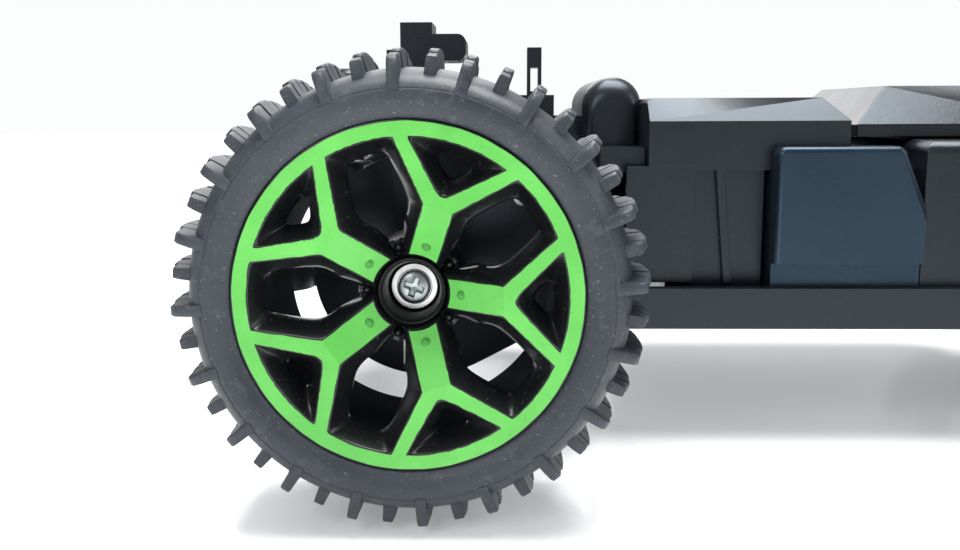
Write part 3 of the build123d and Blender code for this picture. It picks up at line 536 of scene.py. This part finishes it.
def bar_shell(centre, direction, length, width, low, high, round_off):
    """A small raised bar lying in the wheel's plane, with rounded upper edges."""
    cx, cy = centre
    ux, uy = polar(1.0, direction)
    rows = []
    for shrink, depth in ((0, low), (0, high + round_off),
                          (round_off * 0.3, high + round_off * 0.3), (round_off, high)):
        half_l, half_w = length / 2 - shrink, width / 2 - shrink
        rows.append([(cx + ux * a * half_l - uy * b * half_w,
                      cy + uy * a * half_l + ux * b * half_w, depth)
                     for a, b in ((-1, -1), (1, -1), (1, 1), (-1, 1))])
    verts, faces = wall(rows)
    last = len(verts) - 4
    return verts, faces + [(0, 1, 2, 3), (last, last + 1, last + 2, last + 3)]


def dome_shell(centre, radius, depth, height):
    """A low round dome standing on a surface at the given depth."""
    rings, steps, root = 6, 24, 0.3
    rows = []
    for k in range(rings):
        turn = math.radians(90 * k / rings)
        ring = radius * math.cos(turn)
        rows.append([(centre[0] + ring * math.cos(2 * math.pi * i / steps),
                      centre[1] + ring * math.sin(2 * math.pi * i / steps),
                      depth - height * math.sin(turn)) for i in range(steps)])
    base = [(x, y, depth + root) for x, y, _ in rows[0]]
    verts, faces = wall([base] + rows)
    top = len(verts) - steps
    return verts, faces + [tuple(range(steps)), tuple(range(top, top + steps))]


def screw_shells():
    """The pale washer, and the screw with a domed head and a cross-shaped recess."""
    washer = lathe([(1.5, 13.35), (3.72, 13.35), (3.78, 13.2), (3.78, 12.2), (3.68, 12.05),
                    (2.9, 12.0), (2.75, 12.3), (1.5, 12.3)], 96)
    rings, steps, radius = 34, 120, 2.6
    cross_turn, cross_half_width, cross_half_length, cross_core = 0.35, 0.42, 1.55, 0.75
    top, dome, edge_start, edge_drop = 10.75, 0.45, 0.86, 0.35
    rows = []
    for k in range(rings + 1):
        r = radius * (k + 0.02) / (rings + 0.02)
        share = r / radius
        row = []
        for i in range(steps):
            turn = 2 * math.pi * i / steps
            x, y = abs(r * math.cos(turn + cross_turn)), abs(r * math.sin(turn + cross_turn))
            arm = max(min(cross_half_width - x, cross_half_length - y),
                      min(cross_half_width - y, cross_half_length - x),
                      cross_core - math.hypot(x, y))
            floor = 1.05 - 0.35 * r / cross_half_length
            sink = min(1.0, max(0.0, arm / 0.22 + 0.5)) * floor
            depth = top + dome * share ** 2 + edge_drop * max(0.0, share - edge_start) + sink
            row.append((r * math.cos(turn), r * math.sin(turn), depth))
        rows.append(row)
    rows += [[(x * f, y * f, d) for x, y, _ in rows[-1]]
             for f, d in ((1.02, 11.6), (1.02, 12.5), (0.54, 12.5), (0.54, 23.8))]
    verts, faces = wall(rows)
    last = len(verts) - steps
    return washer, (verts, faces + [tuple(range(steps)), tuple(range(last, last + steps))])


def make_rim_mesh():
    """The rim moulding with its five domed bosses round the hub."""
    shells = [rim_shell()]
    for i in range(SPOKES):
        between = SPOKE_PHASE + SPOKE_STEP / 2 + SPOKE_STEP * i
        shells.append(dome_shell(polar(7.25, between), 0.85, 8.9, 1.35))
        shells.append(bar_shell(polar(7.7, between), between, 1.8, 1.2, 9.2, 8.3, 0.3))
    return joined(*shells)


def make_paint_mesh(rng):
    """The green paint: a thin skin over ring and spokes that stops a little short of the edges."""
    def ragged(outline, middle):
        waves = [(rng.uniform(0, 6.28), rng.choice(WAVE_COUNTS), rng.uniform(0.01, 0.03))
                 for _ in range(5)]
        rough = []
        for i, (x, y) in enumerate(outline):
            turn = 2 * math.pi * i / len(outline)
            push = sum(size * math.sin(count * turn + phase) for phase, count, size in waves)
            grow = 1 + push / math.hypot(x - middle[0], y - middle[1])
            rough.append((middle[0] + (x - middle[0]) * grow, middle[1] + (y - middle[1]) * grow))
        return rough

    holes = [ragged(window_loop(*window, PAINT_INSET, 0.05), window[1]) for window in FORKS]
    holes.append(star_loop(PAINT_INSET, 0.05, ragged))
    outer = []
    for i in range(CIRCLE_STEPS):
        angle = 360 * i / CIRCLE_STEPS
        turn = math.radians(angle)
        radius = PAINT_RADIUS + 0.03 * math.sin(17 * turn) + 0.02 * math.sin(41 * turn)
        outer.append(polar(radius, angle))
    shells = [plate(outer, holes, lambda p: face_depth(p) - PAINT_LIFT, stem_points()),
              plate(outer, holes, lambda p: face_depth(p) + PAINT_LIFT, stem_points())]
    for loop in [outer] + holes:
        shells.append(wall([[(x, y, face_depth((x, y)) - PAINT_LIFT) for x, y in loop],
                            [(x, y, face_depth((x, y)) + PAINT_LIFT) for x, y in loop]]))
    return joined(*shells)


def make_dots_mesh():
    """The small domes that stand on the stems near the hub."""
    centres = [polar(8.0, SPOKE_PHASE + SPOKE_STEP * i) for i in range(SPOKES)]
    return joined(*(dome_shell(centre, 0.72, face_depth(centre) - PAINT_LIFT, 0.42)
                    for centre in centres))


# ---- Tyre -------------------------------------------------------------------------
def tyre_profile():
    """The tyre's cross-section as (radius, depth): bulging side walls with a fine line on each,
    and the crown."""
    width = 2 * TYRE_MIDDLE
    outer = [(26.95, 1.3), (27.0, 0.55), (27.25, 0.1), (27.8, -0.3), (28.6, -0.7), (29.4, -0.92),
             (30.2, -0.98), (31.0, -0.92), (31.35, -0.86), (31.45, -0.70), (31.6, -0.70),
             (31.7, -0.74), (32.2, -0.45), (32.8, 0.1), (33.3, 0.8), (33.7, 1.7), (34.1, 3.0),
             (34.5, 5.0), (34.8, 8.0), (34.95, TYRE_MIDDLE)]
    far = [(r, width - d) for r, d in reversed(outer[:-1])]
    inner = [(25.25, width - 1.6), (25.25, width - 5.0), (30.5, width - 3.0), (32.4, TYRE_MIDDLE),
             (30.5, 3.0), (25.25, 5.0), (25.25, 1.6)]
    return outer + far + inner


# A tread block's section: how far across, how far from root to tip, whether above the root
BLOCK_SECTION = ((-1.35, 0.0, False), (-1.06, 0.3, True), (-1.0, 0.82, True), (-0.93, 0.95, True),
                 (-0.75, 1.0, True), (0.0, 1.0, True), (0.75, 1.0, True), (0.93, 0.95, True),
                 (1.0, 0.82, True), (1.06, 0.3, True), (1.35, 0.0, False))


def sweep_block(path, angle, half_low, half_high):
    """A tread block along a path of (root radius, root depth, tip radius, tip depth)."""
    verts = []
    for root_r, root_d, tip_r, tip_d in path:
        for across, up, raised in BLOCK_SECTION:
            r = root_r + (tip_r - root_r) * up
            d = root_d + (tip_d - root_d) * up
            half = half_low + (half_high - half_low) * up if raised else half_low
            offset = across * half
            turn = math.radians(angle) + offset / r
            verts.append((r * math.cos(turn), d, r * math.sin(turn)))
    count = len(BLOCK_SECTION)
    faces = []
    for k in range(len(path) - 1):
        for i in range(count):
            j = (i + 1) % count
            faces.append((k * count + i, k * count + j, (k + 1) * count + j, (k + 1) * count + i))
    last = (len(path) - 1) * count
    faces.append(tuple(range(count)))
    faces.append(tuple(range(last, last + count)))
    return verts, faces


def crown(depth):
    """The radii of the tread's root and tip at a depth."""
    across = (depth - TYRE_MIDDLE) / (TYRE_MIDDLE - 1.5)
    return 34.4 - 1.5 * across ** 2, 37.95 - 1.7 * abs(across) ** 2.2


def middle_path(start, end):
    """The path of a block on the crown, with its two ends a little lower."""
    end_step, end_drop = 0.25, 0.25
    path = []
    for d in (start, start + end_step, (start + end) / 2, end - end_step, end):
        root, tip = crown(d)
        path.append((root, d, tip - end_drop if d in (start, end) else tip, d))
    return path


def tread_blocks(rng):
    """Forty rows of blocks; in every second row the outer blocks run down the side walls."""
    width = 2 * TYRE_MIDDLE
    last = TREAD_GAPS[0] - TREAD_GAP
    shoulder = [(33.4, last, 36.9, last)]
    long_path = [(31.0, 0.2, 31.3, -0.95), (31.6, 0.3, 32.4, -1.0), (32.2, 0.6, 34.2, -0.75),
                 (32.6, 1.2, 35.7, -0.3), (33.0, 1.9, 36.35, 0.5), (33.2, 2.8, 36.55, 1.9)]
    short_path = [(32.5, 1.7, 35.7, 1.5), (32.7, 1.9, 36.3, 1.75), (33.1, 3.2, 36.6, 3.0)]
    shells = []
    edges = (None,) + TREAD_GAPS + (None,)
    for row in range(TREAD_ROWS):
        angle = TREAD_PHASE + row * 360 / TREAD_ROWS
        near_path = (short_path if row % 2 else long_path) + shoulder
        for block in range(5):
            turn = angle + rng.uniform(-0.12, 0.12)
            if 0 < block < 4:
                path = middle_path(edges[block] + TREAD_GAP, edges[block + 1] - TREAD_GAP)
                shells.append(sweep_block(path, turn, 0.95, 0.82))
            elif block == 0:
                shells.append(sweep_block(near_path, turn, 0.92, 0.86))
            else:
                path = [(a, width - b, c, width - d) for a, b, c, d in near_path]
                shells.append(sweep_block(path, turn, 0.92, 0.86))
    return joined(*shells)


# ---- Placing the wheels --------------------------------------------------------------
def place_wheel_piece(source, name, end, side, node, slot):
    """A copy of a wheel piece at one corner, in place of a CAD node; left ones are mirrored."""
    sign = SIDES[side]
    low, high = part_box(f"wheel_rim_{end}_{side}")
    axle = (low + high) / 2
    face_y = low.y if sign < 0 else high.y
    mesh = source.data.copy()
    mirror = Matrix.Diagonal((1, -sign, 1, 1))
    mesh.transform(Matrix.Translation((axle.x, face_y, axle.z)) @ mirror)
    if sign > 0:
        mesh.flip_normals()
    piece = add_object(f"{name}_{end}_{side}", mesh)
    front_body = "front_knuckle" if node == "wheel_screw" else "front_wheel"
    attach(piece, "rear_axle" if end == "rear" else f"{front_body}_{side}")
    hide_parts(f"{node}_{end}_{side}")


def make_wheels():
    """Every wheel piece, made once and copied to the four corners."""
    rng = random.Random(7)
    washer, screw = screw_shells()
    rows = (
        (make_rim_mesh(), "rim_plastic", 30, "rim_moulding", "wheel_rim", "rim_plastic"),
        (hub_shell(), "hub_plastic", 50, "rim_hub", "wheel_rim", "rim_plastic"),
        (make_paint_mesh(rng), "green_paint", 30, "rim_paint", "wheel_rim", "green_paint"),
        (make_dots_mesh(), "deep_green", 35, "rim_dots", "wheel_rim", "green_paint"),
        (lathe(tyre_profile(), 360), "tyre_rubber", 50, "tyre_carcass", "tyre", "tyre_rubber"),
        (tread_blocks(rng), "tyre_rubber", 40, "tyre_tread", "tyre", "tyre_rubber"),
        (washer, "plated_steel", 35, "wheel_washer", "wheel_screw", "plated_steel"),
        (screw, "screw_steel", 25, "wheel_screw_head", "wheel_screw", "plated_steel"),
    )
    for shell, material, degrees, name, node, slot in rows:
        source = build(f"{name}_source", *shell, material, degrees)
        for end in ENDS:
            for side in SIDES:
                place_wheel_piece(source, name, end, side, node, slot)
        bpy.data.objects.remove(source)


def coil(centre, axis, length):
    """Points and faces of a coil spring whose end turns lie closer together."""
    across = Vector((1, 0, 0))
    other = axis.cross(across)
    closing = 0.055
    rows = []
    for i in range(SPRING_STEPS + 1):
        t = i / SPRING_STEPS
        turn = 2 * math.pi * SPRING_TURNS * t
        along = (t - closing * math.sin(2 * math.pi * t) - 0.5) * (length - 2 * WIRE_RADIUS)
        out = across * math.cos(turn) + other * math.sin(turn)
        middle = centre / MM + axis * along + out * SPRING_RADIUS
        row = []
        for k in range(WIRE_STEPS):
            a = 2 * math.pi * k / WIRE_STEPS
            row.append(middle + out * WIRE_RADIUS * math.cos(a) + axis * WIRE_RADIUS * math.sin(a))
        rows.append([(x, z, y) for x, y, z in row])
    verts, faces = wall(rows)
    last = len(verts) - WIRE_STEPS
    return verts, faces + [tuple(range(WIRE_STEPS)), tuple(range(last, last + WIRE_STEPS))]


def make_springs():
    """The four shock springs, each attached to its shock's body."""
    end_clearance, slack = 1.4, 0.5
    for end in ENDS:
        for side, sign in SIDES.items():
            node = f"shock_spring_{end}_{side}"
            low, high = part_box(node)
            centre = (low + high) / 2
            axis = Vector((0, -sign * math.sin(SHOCK_LEAN), math.cos(SHOCK_LEAN)))
            height = (high.z - low.z) / MM - 2 * SPRING_RADIUS * math.sin(SHOCK_LEAN)
            length = (height - end_clearance) / math.cos(SHOCK_LEAN)
            spring = build(f"coil_spring_{end}_{side}", *coil(centre, axis, length), "black_steel",
                           60)
            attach(spring, f"{end}_shock_body_{side}")
            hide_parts(node)
            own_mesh(spring)


def rounded_outline(x_span, z_span, corner):
    """An outline with a flat bottom and two rounded top corners."""
    left, right = x_span
    bottom, top = z_span
    points = [(right, bottom)]
    for start, centre in ((0, right - corner), (90, left + corner)):
        for k in range(11):
            dx, dz = polar(corner, start + 9 * k)
            points.append((centre + dx, top - corner + dz))
    return points + [(left, bottom)]


def make_bulkhead():
    """The rear bulkhead with its upper block soft on all sides, over the CAD's lower part."""
    node = "rear_bulkhead"
    low, high = (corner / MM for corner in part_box(node))
    cut, corner, end_radius, depth, half_width, bottom = 58.5, 6.0, 5.0, 12.8, 22.0, 52.0
    side_share, corner_share, least_corner = 0.45, 0.5, 2.0
    lower = add_object("bulkhead_foot", frame["nodes"][node].data.copy())
    bm = bmesh.new()
    bm.from_mesh(lower.data)
    bmesh.ops.remove_doubles(bm, verts=bm.verts, dist=MERGE_DISTANCE)
    sliced = bmesh.ops.bisect_plane(bm, geom=bm.verts[:] + bm.edges[:] + bm.faces[:],
                                    dist=FLAT_DISTANCE, plane_co=(0, 0, cut * MM),
                                    plane_no=(0, 0, 1), clear_outer=True)
    edges = [part for part in sliced["geom_cut"] if isinstance(part, bmesh.types.BMEdge)]
    bmesh.ops.holes_fill(bm, edges=edges)
    bm.to_mesh(lower.data)
    bm.free()
    loops = []
    turns = [9 * k for k in range(11)]
    for sign, order in ((-1, turns), (1, reversed(turns))):
        for turn in order:
            inset = end_radius * (1 - math.sin(math.radians(turn)))
            reach = end_radius * (1 - math.cos(math.radians(turn)))
            x_span = (low.x + inset * side_share, low.x + depth - inset * side_share)
            outline = rounded_outline(x_span, (bottom, high.z - inset),
                                      max(corner - inset * corner_share, least_corner))
            loops.append([(x, z, sign * (half_width - reach)) for x, z in outline])
    verts, faces = wall(loops)
    count = len(loops[0])
    faces += [tuple(range(count)), tuple(range(len(verts) - count, len(verts)))]
    upper = build("bulkhead_dome", verts, faces, "black_plastic", 40)
    lower.data.materials.clear()
    lower.data.materials.append(MATERIALS["black_plastic"])
    for piece in (lower, upper):
        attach(piece, "chassis")
        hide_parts(node)


# Bevel widths in millimetres; the other CAD nodes have the usual one
BEVEL = 0.35
BEVELS = {"axle_gear": 0.1, "reduction_gear": 0.1, "motor_pinion": 0.05, "circuit_board": 0.1,
          "axle_bushes": 0.1, "chassis_screws": 0.15, "hinge_pins": 0.15, "reduction_shaft": 0.15,
          "rear_axle_shaft": 0.2, "battery_box": 0.45, "electronics_cover": 0.5,
          "front_cover": 0.5}


def dress_cad_nodes():
    """Gives every CAD node its material, and rounded edges that catch the light."""
    slots = {row["node"]: row["material_slot"] for row in frame["record"]["subparts"]}
    for name, node in frame["nodes"].items():
        # The battery box takes the copy of the black plastic with a painted blue reflection
        material = "black_with_painted_blue_reflection" if name == "battery_box" else slots[name]
        node.data.materials.clear()
        node.data.materials.append(MATERIALS[material])
        if node.hide_render:
            continue
        weld = node.modifiers.new("weld", "WELD")
        weld.merge_threshold = MERGE_DISTANCE
        bevel = node.modifiers.new("bevel", "BEVEL")
        bevel.width = BEVELS.get(name, BEVEL) * MM
        bevel.segments = 2
        bevel.limit_method = "ANGLE"
        bevel.angle_limit = math.radians(35)
        bevel.use_clamp_overlap = True
        bevel.harden_normals = True


# ---- Stage ----------------------------------------------------------------------------
def make_floor():
    """A white glossy floor that glows more and more away from the car, up to the backdrop."""
    size = 3.0
    mesh = bpy.data.meshes.new("floor")
    mesh.from_pydata([(-size, -size, 0), (size, -size, 0), (size, size, 0), (-size, size, 0)], [],
                     [(0, 1, 2, 3)])
    floor = add_object("floor", mesh)
    n = Nodes("floor_white")
    reach = n.add("ShaderNodeVectorMath", operation="LENGTH")
    n.join(n.place, reach.inputs[0])
    near, far, least_glow, most_glow = 0.35, 1.1, 0.27, 0.92
    glow = n.ramp(reach.outputs["Value"], near, far, least_glow, most_glow)
    n.join(glow, n.shader.inputs["Emission Strength"])
    n.finish(Base_Color=(0.93, 0.935, 0.94, 1), Roughness=0.12, Specular_IOR_Level=0.4,
             Emission_Color=(0.98, 0.99, 1.0, 1))
    mesh.materials.append(n.material)


def make_world():
    """A near-white backdrop that lights the car less brightly than the camera sees it."""
    light_level, seen_level = 0.4, 1.0
    world = bpy.data.worlds.new("studio")
    bpy.context.scene.world = world
    world.use_nodes = True
    tree = world.node_tree
    background = tree.nodes["Background"]
    background.inputs["Color"].default_value = (0.975, 0.98, 0.985, 1)
    rays = tree.nodes.new("ShaderNodeLightPath")
    level = tree.nodes.new("ShaderNodeMapRange")
    level.inputs["To Min"].default_value = light_level
    level.inputs["To Max"].default_value = seen_level
    tree.links.new(rays.outputs["Is Camera Ray"], level.inputs["Value"])
    tree.links.new(level.outputs["Result"], background.inputs["Strength"])


# Each softbox: name, place, what it faces, width in metres, power in watts
SOFTBOXES = (("softbox_top", (0.02, 0.04, 0.8), (0, 0, 0.03), 0.6, 12.0),
             ("softbox_front", (-0.45, -0.75, 0.5), (-0.05, 0, 0.04), 0.5, 2.4),
             ("softbox_right", (0.7, -0.35, 0.45), (0, 0, 0.04), 0.5, 1.6),
             ("softbox_back", (-0.2, 0.8, 0.55), (0, 0, 0.05), 0.6, 3.0))


def make_lights():
    for name, place, target, width, power in SOFTBOXES:
        data = bpy.data.lights.new(name, "AREA")
        data.size = width
        data.energy = power
        light = add_object(name, data)
        light.location = place
        facing = Vector(target) - Vector(place)
        light.rotation_euler = facing.to_track_quat("-Z", "Y").to_euler()


# The camera, fitted to the photograph: its place from the middle of the rear wheel's face in
# millimetres, and the directions of the picture's right and top
CAMERA_OFFSET = (14.85, -151.06, 28.09)
CAMERA_RIGHT = (0.99968, 0.02515, -0.00405)
CAMERA_UP = (0.0, 0.15887, 0.98730)


def make_camera():
    low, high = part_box("wheel_rim_rear_right")
    wheel = Vector(((low.x + high.x) / 2, low.y, (low.z + high.z) / 2))
    data = bpy.data.cameras.new("camera")
    data.lens = 38.25
    data.sensor_width = 36.0
    data.clip_start = 0.01
    camera = add_object("camera", data)
    right, up = Vector(CAMERA_RIGHT), Vector(CAMERA_UP)
    turn = Matrix((right, up, right.cross(up))).transposed().to_4x4()
    camera.matrix_world = Matrix.Translation(wheel + Vector(CAMERA_OFFSET) * MM) @ turn
    bpy.context.scene.camera = camera
    bpy.context.scene.view_settings.view_transform = "Standard"


make_wheels()
make_springs()
make_bulkhead()
dress_cad_nodes()
make_floor()
make_world()
make_lights()
make_camera()
